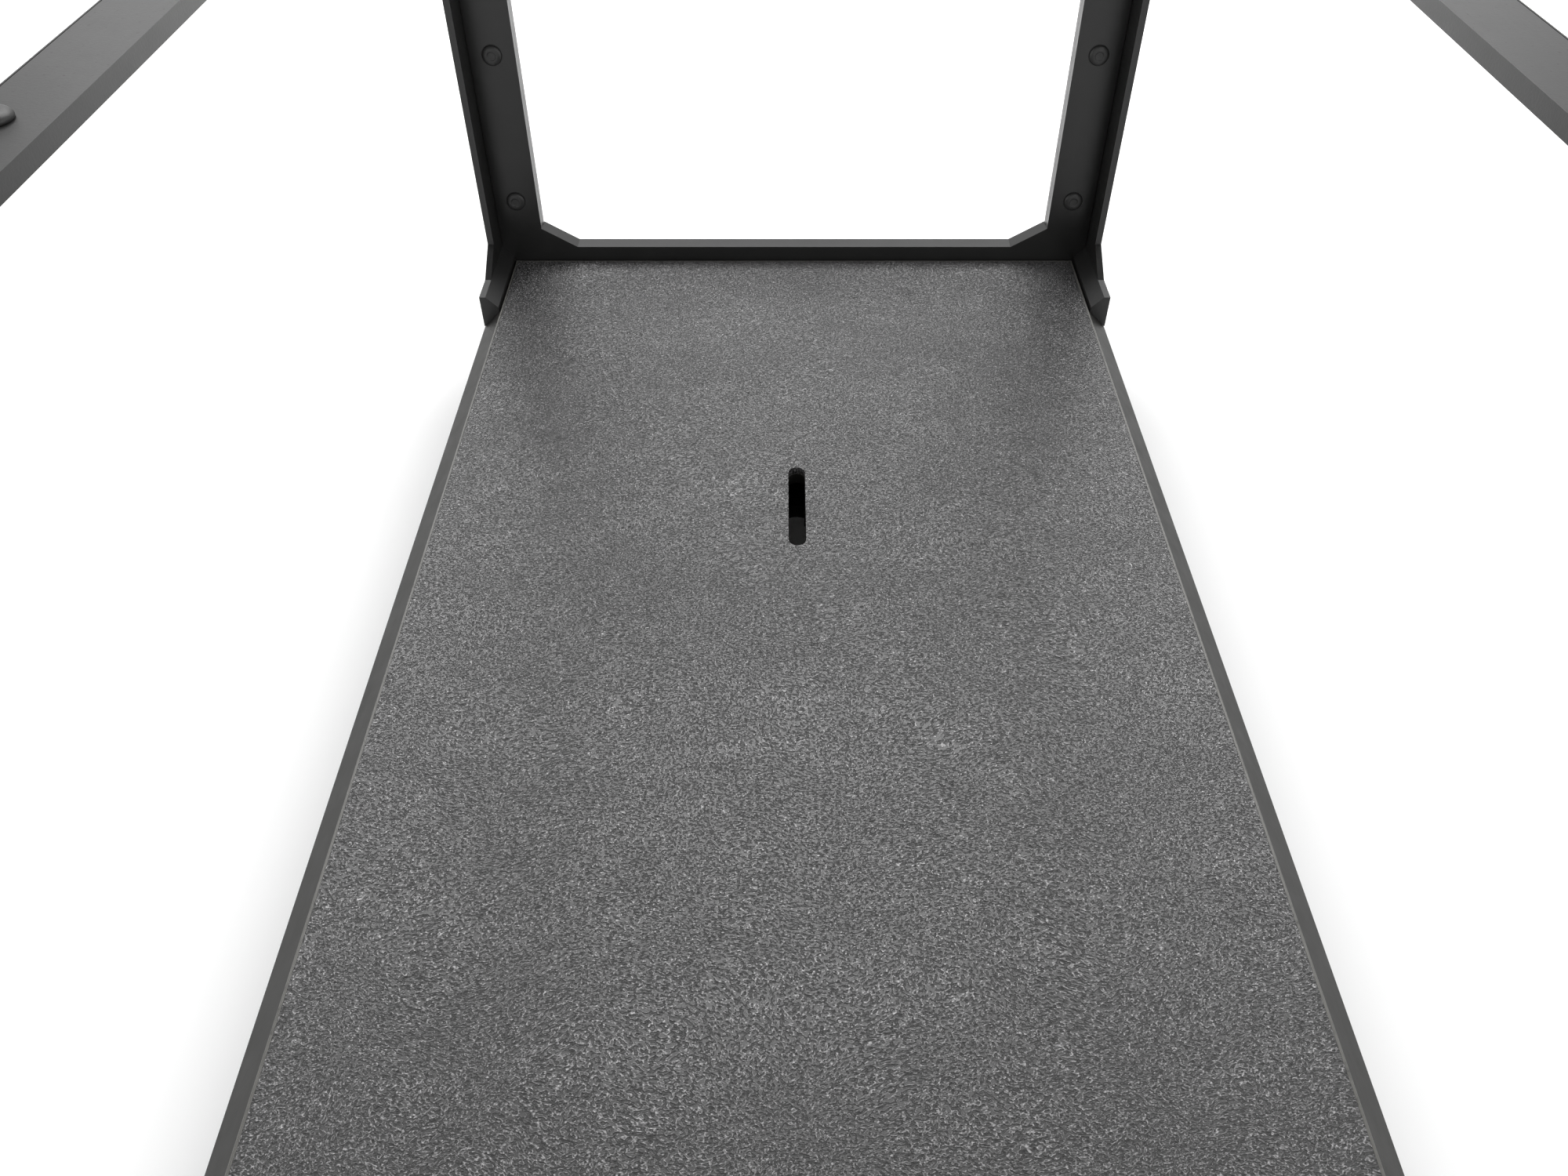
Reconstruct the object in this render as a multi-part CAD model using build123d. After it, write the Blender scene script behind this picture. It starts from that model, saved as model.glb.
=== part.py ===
from build123d import *
import math
import os

# A display stand for a scale model: a long bevelled plinth with a grained deck, turning on a
# ball-bearing foot, under an open lift-off canopy of five window frames.
# Millimetres, +Z up, origin on the table below the middle of the stand. X runs across, Y along.

# ---- overall ----
stand_width = 152.4
stand_length = 372.4
corner_radius = 1.2

# ---- plinth ----
plinth_height = 16.0
plinth_bevel = 4.7
shell_wall = 2.5
shell_roof = 2.4
deck_thickness = 1.6
deck_lip = 0.4
deck_clearance = 0.1
rib_thickness = 1.8
rib_spacing = 62.0
rib_offset = 34.0
rib_clearance = 0.2
boss_radius = 3.6
boss_inset = 9.5
boss_rows = 5
base_plate_thickness = 3.0
base_plate_clearance = 0.2
hub_clear_radius = 15.0

# ---- slots for the two screws that hold a model on the deck ----
model_hole_spacing = 168.0
model_hole_radius = 1.7
model_slot_length = 24.0
driver_slot_radius = 4.5

# ---- canopy ----
canopy_height = 113.0
canopy_wall = 4.2
side_wall = 1.5
canopy_bevel = 4.0
member_width = 12.2
top_member_height = 7.0
sill_height = 3.6
gusset_run = 8.6
gusset_rise = 5.0
toe_length = 29.0
seat_drop = 4.3
seat_clearance = 0.1
lap_clearance = 0.1
flange_width = 4.8
flange_thickness = 1.8
roof_thickness = 2.0
roof_margin = 4.2
roof_clearance = 0.1

# ---- canopy rivets ----
corner_rivet_first = 16.0
corner_rivet_pitch = 35.4
corner_rivet_count = 3
corner_rivet_head_radius = 2.3
roof_rivet_head_radius = 2.2
rivet_head_height = 0.8
rivet_dome = 0.8
rivet_shank_radius = 1.0
rivet_tail_radius = 1.6
rivet_tail_height = 0.6
rivet_clearance = 0.05
long_rail_rivet_count = 5
short_rail_rivet_count = 3
rail_rivet_end_gap = 26.0

# ---- foot ----
foot_radius = 65.0
foot_thickness = 6.0
foot_edge_radius = 1.5
foot_base_chamfer = 0.75
rubber_radius = 8.0
rubber_height = 3.0
rubber_recess = 1.0
rubber_chamfer = 0.5
rubber_circle_radius = 54.0
rubber_clearance = 0.1

# ---- ball bearing ----
ball_radius = 2.0
ball_count = 24
ball_circle_radius = 42.0
race_inner_radius = 27.0
race_outer_radius = 50.0
race_thickness = 2.0
race_gap = 2.0
ball_clearance = 0.2
cage_thickness = 1.0
cage_width = 7.0

# ---- bearing screws ----
race_screw_circle_radius = 33.0
race_screw_count = 4
race_screw_radius = 1.5
lower_screw_length = 7.4
upper_screw_length = 6.5
access_hole_radius = 3.5
plate_boss_radius = 4.0
plate_boss_height = 3.5

# ---- pivot ----
pivot_radius = 2.5
pivot_fit = 0.05
pivot_hole_clearance = 0.1
pivot_head_radius = 4.75
pivot_head_height = 2.8
pivot_head_recess = 3.4
pivot_head_chamfer = 0.9
pivot_socket_radius = 1.75
pivot_socket_depth = 1.4
pivot_tip_chamfer = 0.3
pivot_head_clearance = 0.4
pivot_end = 0.6
jam_nut_flats = 8.0
jam_nut_height = 2.7
lock_nut_flats = 8.0
lock_nut_height = 5.0
washer_radius = 6.5
washer_thickness = 1.0
bush_wall = 1.5
bush_flange_radius = 7.5
bush_flange_thickness = 1.2
running_gap = 0.1
bush_end_gap = 0.3

# ---- screws ----
plate_screw_radius = 1.25
plate_screw_length = 9.0
screw_head_ratio = 2.0
screw_slot_ratio = 0.2
screw_slot_depth_ratio = 0.25
screw_clearance = 0.05
screw_tip_gap = 0.5

# ---- heights and half sizes worked out from the sizes above ----
foot_bottom = rubber_height - rubber_recess
foot_top = foot_bottom + foot_thickness
lower_race_top = foot_top + race_thickness
ball_centre_z = lower_race_top + race_gap / 2
upper_race_bottom = lower_race_top + race_gap
plinth_bottom = upper_race_bottom + race_thickness
plate_top = plinth_bottom + base_plate_thickness
deck_top = plinth_bottom + plinth_height
roof_top = deck_top + canopy_height
roof_bottom = roof_top - roof_thickness
window_top = roof_top - top_member_height
half_width = stand_width / 2
half_length = stand_length / 2
wall_x = half_width - canopy_wall
wall_y = half_length - canopy_wall
side_inner_x = half_width - side_wall
window_x = half_width - member_width
window_y = half_length - member_width
lap_y = half_length - canopy_wall / 2
flange_x = wall_x - flange_width
flange_y = wall_y - flange_width
roof_x = half_width - roof_margin
roof_y = half_length - roof_margin
cavity_top = deck_top - deck_thickness - shell_roof


standing = (Align.CENTER, Align.CENTER, Align.MIN)
hanging = (Align.CENTER, Align.CENTER, Align.MAX)


def block(x_low, x_high, y_low, y_high, z_low, z_high):
    """A box given by its six faces."""
    centre = Pos((x_low + x_high) / 2, (y_low + y_high) / 2, (z_low + z_high) / 2)
    return centre * Box(x_high - x_low, y_high - y_low, z_high - z_low)


def post(x, y, radius, z_low, z_high):
    """An upright cylinder between two heights."""
    return Pos(x, y, (z_low + z_high) / 2) * Cylinder(radius, z_high - z_low)


def rod_y(x, z, radius, y_low, y_high):
    """A cylinder along Y between two places."""
    return Pos(x, (y_low + y_high) / 2, z) * Rot(90, 0, 0) * Cylinder(radius, y_high - y_low)


def bevelled_block(z_low, z_high, bevel):
    """The stand's rectangle between two heights, its top edges bevelled and its corners rounded."""
    sharp = block(-half_width, half_width, -half_length, half_length, z_low, z_high)
    sharp = chamfer(sharp.edges().group_by(Axis.Z)[-1], bevel)
    outline = RectangleRounded(stand_width, stand_length, corner_radius)
    return sharp & (Pos(0, 0, z_low) * extrude(outline, z_high - z_low))


def ring_places(count, radius, start_degrees):
    """Places evenly spaced on a circle round the pivot."""
    places = []
    for index in range(count):
        angle = math.radians(start_degrees + 360 * index / count)
        places.append((radius * math.cos(angle), radius * math.sin(angle)))
    return places


def slot_hole(y, radius, z_low, z_high):
    """An upright slot along Y, as long as the model screws may move."""
    half = model_slot_length / 2 - model_hole_radius
    ends = post(0, y - half, radius, z_low, z_high) + post(0, y + half, radius, z_low, z_high)
    return ends + block(-radius, radius, y - half, y + half, z_low, z_high)


def model_slots(radius, z_low, z_high):
    half = model_hole_spacing / 2
    return slot_hole(-half, radius, z_low, z_high) + slot_hole(half, radius, z_low, z_high)


def flat_head_shape(radius, length, clearance):
    """A countersunk head with its face at 0 and a shank up to length, grown by a clearance."""
    head_radius = radius * screw_head_ratio
    head_height = head_radius - radius
    head = Cone(head_radius + clearance, radius + clearance, head_height, align=standing)
    return head + Cylinder(radius + clearance, length, align=standing)


def set_in(shape, x, y, z_face, direction):
    """Put a shape made at 0 into a face, pointing up for 1 or down for -1."""
    turn = Rot(0, 0, 0) if direction > 0 else Rot(180, 0, 0)
    return Pos(x, y, z_face) * turn * shape


def countersunk_screw(x, y, z_face, length, radius, direction):
    """A flat-head screw with a cross recess, its head flush with z_face."""
    screw = flat_head_shape(radius, length, 0)
    span = radius * screw_head_ratio
    slot = Box(span, span * screw_slot_ratio, 2 * span * screw_slot_depth_ratio)
    screw -= slot + Rot(0, 0, 90) * slot
    return set_in(screw, x, y, z_face, direction)


def countersunk_hole(x, y, z_face, depth, radius, direction):
    """The hole for such a screw, wider all round by the screw clearance."""
    hole = flat_head_shape(radius, depth, screw_clearance)
    return set_in(hole, x, y, z_face, direction)


# ---- foot ----


def rubber_places():
    return ring_places(4, rubber_circle_radius, 45)


def make_foot_plate():
    plate = post(0, 0, foot_radius, foot_bottom, foot_top)
    plate = fillet(plate.edges().group_by(Axis.Z)[-1], foot_edge_radius)
    plate = chamfer(plate.edges().group_by(Axis.Z)[0], foot_base_chamfer)
    plate -= post(0, 0, pivot_radius + pivot_hole_clearance, foot_bottom, foot_top)
    head_hole = pivot_head_radius + pivot_head_clearance
    plate -= post(0, 0, head_hole, foot_bottom, foot_bottom + pivot_head_recess)
    for x, y in rubber_places():
        plate -= post(x, y, rubber_radius + rubber_clearance, foot_bottom, foot_bottom + rubber_recess)
    tip = lower_race_top - lower_screw_length - screw_tip_gap
    for x, y in lower_screw_places():
        plate -= post(x, y, race_screw_radius + screw_clearance, tip, foot_top)
    x, y = access_place()
    return plate - post(x, y, access_hole_radius, foot_bottom, foot_top)


def make_rubber_foot(x, y):
    pad = post(x, y, rubber_radius, 0, rubber_height)
    return chamfer(pad.edges().group_by(Axis.Z)[0], rubber_chamfer)


# ---- ball bearing ----


def lower_screw_places():
    return ring_places(race_screw_count, race_screw_circle_radius, 45)


def upper_screw_places():
    return ring_places(race_screw_count, race_screw_circle_radius, 0)


def access_place():
    """Below one upper screw, so that a driver reaches each of them as the deck is turned."""
    return upper_screw_places()[0]


def make_race(z_low):
    race = post(0, 0, race_outer_radius, z_low, z_low + race_thickness)
    race -= post(0, 0, race_inner_radius, z_low, z_low + race_thickness)
    return race - Pos(0, 0, ball_centre_z) * Torus(ball_circle_radius, ball_radius + ball_clearance)


def make_lower_race():
    race = make_race(foot_top)
    for x, y in lower_screw_places():
        race -= countersunk_hole(x, y, lower_race_top, race_thickness, race_screw_radius, -1)
    x, y = access_place()
    return race - post(x, y, access_hole_radius, foot_top, lower_race_top)


def make_upper_race():
    race = make_race(upper_race_bottom)
    for x, y in upper_screw_places():
        race -= countersunk_hole(x, y, upper_race_bottom, race_thickness, race_screw_radius, 1)
    return race


def make_lower_race_screws():
    screws = []
    for x, y in lower_screw_places():
        screws.append(countersunk_screw(x, y, lower_race_top, lower_screw_length, race_screw_radius, -1))
    return Compound(screws)


def make_upper_race_screws():
    screws = []
    for x, y in upper_screw_places():
        screws.append(countersunk_screw(x, y, upper_race_bottom, upper_screw_length, race_screw_radius, 1))
    return Compound(screws)


def make_bearing_balls():
    balls = []
    for x, y in ring_places(ball_count, ball_circle_radius, 0):
        balls.append(Pos(x, y, ball_centre_z) * Sphere(ball_radius))
    return Compound(balls)


def make_ball_cage():
    low = ball_centre_z - cage_thickness / 2
    high = ball_centre_z + cage_thickness / 2
    cage = post(0, 0, ball_circle_radius + cage_width / 2, low, high)
    cage -= post(0, 0, ball_circle_radius - cage_width / 2, low, high)
    for x, y in ring_places(ball_count, ball_circle_radius, 0):
        cage -= post(x, y, ball_radius + ball_clearance, low, high)
    return cage


# ---- pivot ----

bush_radius = pivot_radius + pivot_fit + bush_wall
bush_bottom = foot_top + jam_nut_height + bush_end_gap
bush_flange_top = plate_top + bush_flange_thickness
washer_bottom = bush_flange_top + running_gap
lock_nut_bottom = washer_bottom + washer_thickness
pivot_top = lock_nut_bottom + lock_nut_height + pivot_end


def make_pivot_bolt():
    head_top = foot_bottom + pivot_head_recess
    head = post(0, 0, pivot_head_radius, head_top - pivot_head_height, head_top)
    head = chamfer(head.edges().group_by(Axis.Z)[0], pivot_head_chamfer)
    socket = extrude(RegularPolygon(pivot_socket_radius, 6), pivot_socket_depth)
    head -= Pos(0, 0, head_top - pivot_head_height) * socket
    shank = post(0, 0, pivot_radius, head_top, pivot_top)
    shank = chamfer(shank.edges().group_by(Axis.Z)[-1], pivot_tip_chamfer)
    return head + shank


def make_nut(z_low, height, flats):
    nut = Pos(0, 0, z_low) * extrude(RegularPolygon(flats / 2, 6, major_radius=False), height)
    return nut - post(0, 0, pivot_radius + pivot_hole_clearance, z_low, z_low + height)


def make_thrust_washer():
    washer = post(0, 0, washer_radius, washer_bottom, lock_nut_bottom)
    return washer - post(0, 0, pivot_radius + pivot_hole_clearance, washer_bottom, lock_nut_bottom)


def make_pivot_bush():
    bush = post(0, 0, bush_radius, bush_bottom, plate_top)
    bush += post(0, 0, bush_flange_radius, plate_top, bush_flange_top)
    return bush - post(0, 0, pivot_radius + pivot_fit, bush_bottom, bush_flange_top)


# ---- plinth ----


def boss_places():
    x = half_width - boss_inset
    y_end = half_length - boss_inset
    places = []
    for row in range(boss_rows):
        y = -y_end + 2 * y_end * row / (boss_rows - 1)
        places.append((-x, y))
        places.append((x, y))
    return places


def make_base_plate():
    inset = shell_wall + base_plate_clearance
    x = half_width - inset
    y = half_length - inset
    plate = block(-x, x, -y, y, plinth_bottom, plate_top)
    for sx, sy in upper_screw_places():
        plate += post(sx, sy, plate_boss_radius, plate_top, plate_top + plate_boss_height)
        plate -= post(sx, sy, race_screw_radius + screw_clearance, plinth_bottom, plate_top + plate_boss_height)
    for bx, by in boss_places():
        plate -= countersunk_hole(bx, by, plinth_bottom, base_plate_thickness, plate_screw_radius, 1)
    plate -= model_slots(driver_slot_radius, plinth_bottom, plate_top)
    return plate - post(0, 0, bush_radius + screw_clearance, plinth_bottom, plate_top)


def make_base_plate_screws():
    screws = []
    for x, y in boss_places():
        screws.append(countersunk_screw(x, y, plinth_bottom, plate_screw_length, plate_screw_radius, 1))
    return Compound(screws)


def make_ribs():
    """The grid under the shell's roof: two long ribs and a row of cross ribs."""
    x_end = half_width - shell_wall
    y_end = half_length - shell_wall
    low = plate_top + rib_clearance
    half = rib_thickness / 2
    ribs = block(rib_offset - half, rib_offset + half, -y_end, y_end, low, cavity_top)
    ribs += block(-rib_offset - half, -rib_offset + half, -y_end, y_end, low, cavity_top)
    for index in range(math.ceil(y_end / rib_spacing)):
        y = (index + 0.5) * rib_spacing
        if y + half < y_end:
            ribs += block(-x_end, x_end, y - half, y + half, low, cavity_top)
            ribs += block(-x_end, x_end, -y - half, -y + half, low, cavity_top)
    return ribs


def make_plinth_shell():
    shell = bevelled_block(plinth_bottom, deck_top, plinth_bevel)
    x = half_width - shell_wall
    y = half_length - shell_wall
    cavity = block(-x, x, -y, y, plinth_bottom, cavity_top)
    bevel_depth = plinth_bevel + shell_wall * (math.sqrt(2) - 1) - deck_thickness - shell_roof
    if bevel_depth > 0:
        cavity = chamfer(cavity.edges().group_by(Axis.Z)[-1], bevel_depth)
    ribs = make_ribs() & cavity
    ribs -= post(0, 0, hub_clear_radius, plinth_bottom, cavity_top)
    for sx, sy in upper_screw_places():
        ribs -= post(sx, sy, plate_boss_radius + rib_clearance, plinth_bottom, cavity_top)
    shell = shell - cavity + ribs
    for bx, by in boss_places():
        shell += post(bx, by, boss_radius, plate_top, cavity_top)
        tip = plinth_bottom + plate_screw_length + screw_tip_gap
        shell -= post(bx, by, plate_screw_radius + screw_clearance, plate_top, tip)
    edge = plinth_bevel + deck_lip
    recess_x = half_width - edge
    recess_y = half_length - edge
    shell -= block(-recess_x, recess_x, -recess_y, recess_y, deck_top - deck_thickness, deck_top)
    return shell - model_slots(model_hole_radius, plate_top, deck_top)


def make_deck_panel():
    edge = plinth_bevel + deck_lip + deck_clearance
    x = half_width - edge
    y = half_length - edge
    panel = block(-x, x, -y, y, deck_top - deck_thickness, deck_top)
    return panel - model_slots(model_hole_radius, deck_top - deck_thickness, deck_top)


# ---- canopy ----


def canopy_envelope():
    """All that the canopy may fill: bevelled on top, and seated on the plinth's bevel below."""
    outer = bevelled_block(deck_top - seat_drop, roof_top, canopy_bevel)
    plinth = bevelled_block(plinth_bottom, deck_top, plinth_bevel)
    pocket = block(-roof_x, roof_x, -roof_y, roof_y, roof_bottom, roof_top)
    return outer - Pos(0, 0, seat_clearance) * plinth - pocket


def window_outline(half_span, z_low, z_high):
    """A window with sloping gussets in its four corners, as points across and up the frame."""
    inner = half_span - gusset_run
    return [
        (-inner, z_low),
        (inner, z_low),
        (half_span, z_low + gusset_rise),
        (half_span, z_high - gusset_rise),
        (inner, z_high),
        (-inner, z_high),
        (-half_span, z_high - gusset_rise),
        (-half_span, z_low + gusset_rise),
    ]


def filled(points):
    return make_face(Polyline(*points, close=True))


def end_window():
    """The window of the front and back frames, as a tool through the back frame."""
    outline = window_outline(window_x, deck_top + sill_height, window_top)
    return extrude(Plane.XZ.offset(-flange_y) * filled(outline), -2 * (half_length - flange_y))


def side_window():
    """The window of a side frame. Between the two toes it is open down to the plinth."""
    outline = window_outline(window_y, deck_top + sill_height, window_top)
    window = extrude(Plane.YZ.offset(flange_x) * filled(outline), 2 * (half_width - flange_x))
    toe_y = half_length - toe_length
    low = deck_top - 2 * seat_drop
    mouth = block(flange_x, 2 * half_width, -toe_y, toe_y, low, deck_top + sill_height + gusset_rise)
    return window + mouth


def side_hollow():
    """What is taken out of the right side frame: a shallow hollow along its inner face, sloping
    out at the top and at the toes, and a step at each end for the end frame's edge."""
    depth = side_inner_x - wall_x
    low = deck_top + sill_height
    outline = [
        (wall_x, low - depth),
        (side_inner_x, low),
        (side_inner_x, window_top),
        (wall_x, window_top + depth),
    ]
    hollow = extrude(Plane.XZ.offset(wall_y) * filled(outline), -2 * wall_y)
    lap = lap_y + lap_clearance / 2
    step = block(wall_x, side_inner_x, wall_y, lap, deck_top - seat_drop, roof_top)
    return hollow + step + mirror(step, Plane.XZ)


def corner_rivet_heights():
    heights = []
    for index in range(corner_rivet_count):
        heights.append(deck_top + corner_rivet_first + corner_rivet_pitch * index)
    return heights


def corner_rivet_x():
    return (window_x + side_inner_x) / 2


def corner_rivet_holes(side):
    """Holes for one corner's rivets, with a recess in the outer face for each tail."""
    holes = []
    x = side * corner_rivet_x()
    tail_y = half_length - rivet_tail_height - rivet_clearance
    for z in corner_rivet_heights():
        holes.append(rod_y(x, z, rivet_shank_radius + rivet_clearance, flange_y, half_length))
        holes.append(rod_y(x, z, rivet_tail_radius + rivet_clearance, tail_y, half_length))
    return Compound(holes)


def rail_places():
    """Places of the roof rivets, as four lists: left, right, front and back."""
    x = wall_x - flange_width / 2
    y = wall_y - flange_width / 2
    y_end = wall_y - rail_rivet_end_gap
    x_end = wall_x - rail_rivet_end_gap
    long_rail = []
    for index in range(long_rail_rivet_count):
        long_rail.append(-y_end + 2 * y_end * index / (long_rail_rivet_count - 1))
    short_rail = []
    for index in range(short_rail_rivet_count):
        short_rail.append(-x_end + 2 * x_end * index / (short_rail_rivet_count - 1))
    return {
        "left": [(-x, place) for place in long_rail],
        "right": [(x, place) for place in long_rail],
        "front": [(place, -y) for place in short_rail],
        "back": [(place, y) for place in short_rail],
    }


def rail_holes(rail):
    holes = []
    flange_bottom = roof_bottom - flange_thickness
    for x, y in rail_places()[rail]:
        holes.append(post(x, y, rivet_shank_radius + rivet_clearance, flange_bottom, roof_top))
    return Compound(holes)


def make_back_frame():
    """The far window frame: a thick middle, thin edges that lap inside the side frames' flanges."""
    low = deck_top - seat_drop
    inner_x = side_inner_x - lap_clearance
    outer_x = window_x - lap_clearance
    frame = block(-inner_x, inner_x, wall_y, lap_y - lap_clearance / 2, low, roof_top)
    frame += block(-outer_x, outer_x, lap_y - lap_clearance / 2, half_length, low, roof_top)
    rail_x = flange_x - lap_clearance
    frame += block(-rail_x, rail_x, flange_y, wall_y, roof_bottom - flange_thickness, roof_bottom)
    frame = frame & canopy_envelope()
    frame -= end_window()
    frame -= corner_rivet_holes(-1)
    frame -= corner_rivet_holes(1)
    return frame - rail_holes("back")


def make_right_side_frame():
    """A long side: an upright wall on two toes, with flanges turned in at both ends and on top."""
    low = deck_top - seat_drop
    frame = block(wall_x, half_width, -half_length, half_length, low, roof_top)
    lap = lap_y + lap_clearance / 2
    frame += block(window_x, wall_x, lap, half_length, low, roof_top)
    frame += block(window_x, wall_x, -half_length, -lap, low, roof_top)
    rail_y = wall_y - lap_clearance
    frame += block(flange_x, wall_x, -rail_y, rail_y, roof_bottom - flange_thickness, roof_bottom)
    frame = (frame - side_hollow()) & canopy_envelope()
    frame -= side_window() & block(wall_x, half_width, -rail_y, rail_y, low - seat_drop, roof_top)
    frame -= corner_rivet_holes(1)
    frame -= mirror(corner_rivet_holes(1), Plane.XZ)
    return frame - rail_holes("right")


def make_top_frame():
    """The flat roof ring, let into the tops of the four wall frames."""
    x = roof_x - roof_clearance
    y = roof_y - roof_clearance
    frame = block(-x, x, -y, y, roof_bottom, roof_top) & bevelled_block(deck_top, roof_top, canopy_bevel)
    outline = window_outline(window_x, -window_y, window_y)
    frame -= Pos(0, 0, roof_bottom) * extrude(filled(outline), roof_thickness)
    for rail in rail_places():
        frame -= rail_holes(rail)
    return frame


def rivet(head_radius, grip):
    """A push rivet along +Z: a domed head below 0, a shank as long as the grip, then its tail."""
    head = Cylinder(head_radius, rivet_head_height, align=hanging)
    head = fillet(head.edges().group_by(Axis.Z)[0], rivet_head_height * rivet_dome)
    shank = Cylinder(rivet_shank_radius, grip, align=standing)
    tail = Cylinder(rivet_tail_radius, rivet_tail_height, align=standing)
    return head + shank + Pos(0, 0, grip) * tail


def make_corner_rivets(side):
    """One back corner's rivets, heads inside the canopy and tails flush with the outer face."""
    rivets = []
    whole = rivet(corner_rivet_head_radius, canopy_wall - rivet_tail_height)
    for z in corner_rivet_heights():
        rivets.append(Pos(side * corner_rivet_x(), wall_y, z) * Rot(-90, 0, 0) * whole)
    return Compound(rivets)


def make_rail_rivets(rail):
    """The rivets along one roof rail, heads on top and tails under the flange."""
    rivets = []
    whole = rivet(roof_rivet_head_radius, roof_thickness + flange_thickness)
    for x, y in rail_places()[rail]:
        rivets.append(Pos(x, y, roof_top) * Rot(180, 0, 0) * whole)
    return Compound(rivets)


def build():
    parts = {
        "foot_plate": make_foot_plate(),
        "lower_race": make_lower_race(),
        "lower_race_screws": make_lower_race_screws(),
        "pivot_bolt": make_pivot_bolt(),
        "jam_nut": make_nut(foot_top, jam_nut_height, jam_nut_flats),
        "thrust_washer": make_thrust_washer(),
        "lock_nut": make_nut(lock_nut_bottom, lock_nut_height, lock_nut_flats),
        "bearing_balls": make_bearing_balls(),
        "ball_cage": make_ball_cage(),
        "upper_race": make_upper_race(),
        "upper_race_screws": make_upper_race_screws(),
        "pivot_bush": make_pivot_bush(),
        "base_plate": make_base_plate(),
        "base_plate_screws": make_base_plate_screws(),
        "plinth_shell": make_plinth_shell(),
        "deck_panel": make_deck_panel(),
        "back_frame": make_back_frame(),
        "right_side_frame": make_right_side_frame(),
        "top_frame": make_top_frame(),
    }
    parts["front_frame"] = mirror(parts["back_frame"], Plane.XZ)
    parts["left_side_frame"] = mirror(parts["right_side_frame"], Plane.YZ)
    for side, name in ((-1, "left"), (1, "right")):
        rivets = make_corner_rivets(side)
        parts["rivets_back_" + name] = rivets
        parts["rivets_front_" + name] = mirror(rivets, Plane.XZ)
    for rail in rail_places():
        parts["roof_rivets_" + rail] = make_rail_rivets(rail)
    foot_names = ("back_right", "back_left", "front_left", "front_right")
    for name, (x, y) in zip(foot_names, rubber_places()):
        parts["rubber_foot_" + name] = make_rubber_foot(x, y)
    return parts


def main():
    os.makedirs("parts", exist_ok=True)
    for name, shape in build().items():
        export_step(shape, f"parts/{name}.step")


if __name__ == "__main__":
    main()
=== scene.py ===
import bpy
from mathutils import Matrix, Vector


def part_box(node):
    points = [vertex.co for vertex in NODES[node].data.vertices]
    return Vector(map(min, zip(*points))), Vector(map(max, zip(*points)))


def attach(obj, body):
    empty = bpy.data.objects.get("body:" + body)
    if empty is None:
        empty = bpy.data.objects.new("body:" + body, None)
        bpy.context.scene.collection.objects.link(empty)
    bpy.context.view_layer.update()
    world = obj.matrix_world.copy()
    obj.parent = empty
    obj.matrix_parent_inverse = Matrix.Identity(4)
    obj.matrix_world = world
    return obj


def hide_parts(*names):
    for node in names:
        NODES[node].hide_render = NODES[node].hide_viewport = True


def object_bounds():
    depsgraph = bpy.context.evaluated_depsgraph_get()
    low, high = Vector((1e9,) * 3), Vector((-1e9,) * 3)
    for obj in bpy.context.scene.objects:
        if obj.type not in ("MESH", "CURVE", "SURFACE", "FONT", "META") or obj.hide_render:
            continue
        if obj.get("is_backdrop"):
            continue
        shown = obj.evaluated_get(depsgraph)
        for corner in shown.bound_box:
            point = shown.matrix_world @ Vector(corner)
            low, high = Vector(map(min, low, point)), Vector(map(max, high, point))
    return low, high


bl_info = {
    "name": "Turntable stand dressing",
    "version": (1, 0, 0),
    "blender": (4, 5, 0),
    "location": "View3D > Sidebar > Stand",
    "description": "Finished pieces, materials and studio for a turntable display stand",
    "category": "Object",
}

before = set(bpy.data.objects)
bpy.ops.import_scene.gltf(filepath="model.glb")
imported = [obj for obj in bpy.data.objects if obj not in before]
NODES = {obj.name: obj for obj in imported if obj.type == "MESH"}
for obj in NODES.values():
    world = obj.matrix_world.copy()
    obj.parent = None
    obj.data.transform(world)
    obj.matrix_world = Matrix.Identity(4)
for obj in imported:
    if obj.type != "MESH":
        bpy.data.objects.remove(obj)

import math

import bmesh
import bpy
from bpy.props import FloatProperty, FloatVectorProperty, IntProperty, PointerProperty
from mathutils import Matrix, Vector

MM = 0.001
WELD = 0.002 * MM
CORNERS = ("back_left", "back_right", "front_left", "front_right")
RAILS = ("left", "right", "front", "back")
FRAMES = ("back_frame", "front_frame", "left_side_frame", "right_side_frame", "top_frame")

# Numbers that several pieces share.
FLAT_ANGLE = 0.4         # degrees: faces that meet at less are one flat face
ROUND_SEGMENTS = 96      # facets round a turned piece
THREAD_SEGMENTS = 48     # facets round the pivot's thread
SCREW_SEGMENTS = 24      # facets round a screw
FOOT_SEGMENTS = 72       # facets round a rubber foot
THREAD_ROWS = 6          # rows of facets in one turn of a thread
THREAD_STEEPNESS = 1.25  # over 1, a thread's crest has a flat
THREAD_DEPTH = 0.61      # of the pitch
SCREW_HEAD = 2           # a screw's head radius over its thread's
SCREW_ROOT = 0.72        # a screw's root radius over its thread's
NUT_SLOPE = 30           # degrees: how steeply a nut's corners are turned off
COLLAR_SHARE = 0.3       # a lock nut's collar, of the nut's height


def millimetres(name, description, default):
    """A length that is shown in the scene's own unit, with its default in millimetres."""
    return FloatProperty(
        name=name, description=description, default=default * MM, min=0, precision=5, unit="LENGTH"
    )


def colour(name, description, default):
    return FloatVectorProperty(
        name=name, description=description, default=default, subtype="COLOR", size=3, min=0, max=1
    )


def share(name, description, default):
    return FloatProperty(
        name=name, description=description, default=default, subtype="FACTOR", min=0, max=1
    )


# ---- what a user would change ----


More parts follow.
